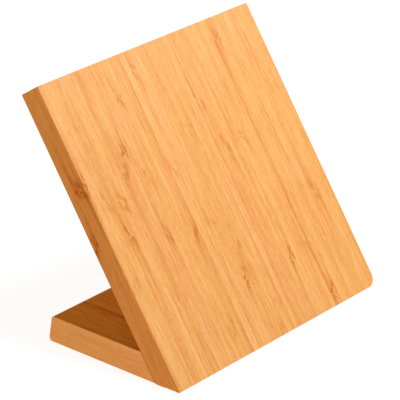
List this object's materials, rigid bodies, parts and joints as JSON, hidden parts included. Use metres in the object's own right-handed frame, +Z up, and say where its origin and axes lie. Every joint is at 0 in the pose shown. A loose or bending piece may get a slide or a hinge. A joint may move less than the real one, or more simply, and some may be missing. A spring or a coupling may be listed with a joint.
{
  "type": "magnetic knife block",
  "caption": "Leaning bamboo board on a flat bamboo base, with hidden rows of magnets that hold knives flat against its face.",
  "frame": {"origin": "centre of the footprint, on the surface that the rubber feet stand on", "axes": "+X along the board's width, to the right as seen from the knife side; -Y faces whoever takes a knife; +Z up"},
  "size_m": [0.24, 0.152, 0.2069],
  "materials": {
    "bamboo_face": "satin",
    "bamboo_back": "satin",
    "bamboo_base": "satin",
    "ferrite": "matte",
    "keeper_steel": "satin",
    "beech": "matte",
    "screw_steel": "satin",
    "foot_rubber": "matte"
  },
  "bodies": {
    "root": {"face_board": "bamboo_face", "back_board": "bamboo_back", "base_board": "bamboo_base", "upper_magnet_1": "ferrite", "upper_magnet_2": "ferrite", "upper_magnet_3": "ferrite", "upper_magnet_4": "ferrite", "upper_magnet_5": "ferrite", "lower_magnet_1": "ferrite", "lower_magnet_2": "ferrite", "lower_magnet_3": "ferrite", "lower_magnet_4": "ferrite", "lower_magnet_5": "ferrite", "upper_keeper_strip": "keeper_steel", "lower_keeper_strip": "keeper_steel", "left_dowel": "beech", "right_dowel": "beech", "joint_screws": "screw_steel", "front_left_foot": "foot_rubber", "front_right_foot": "foot_rubber", "rear_left_foot": "foot_rubber", "rear_right_foot": "foot_rubber"}
  },
  "joints": []
}
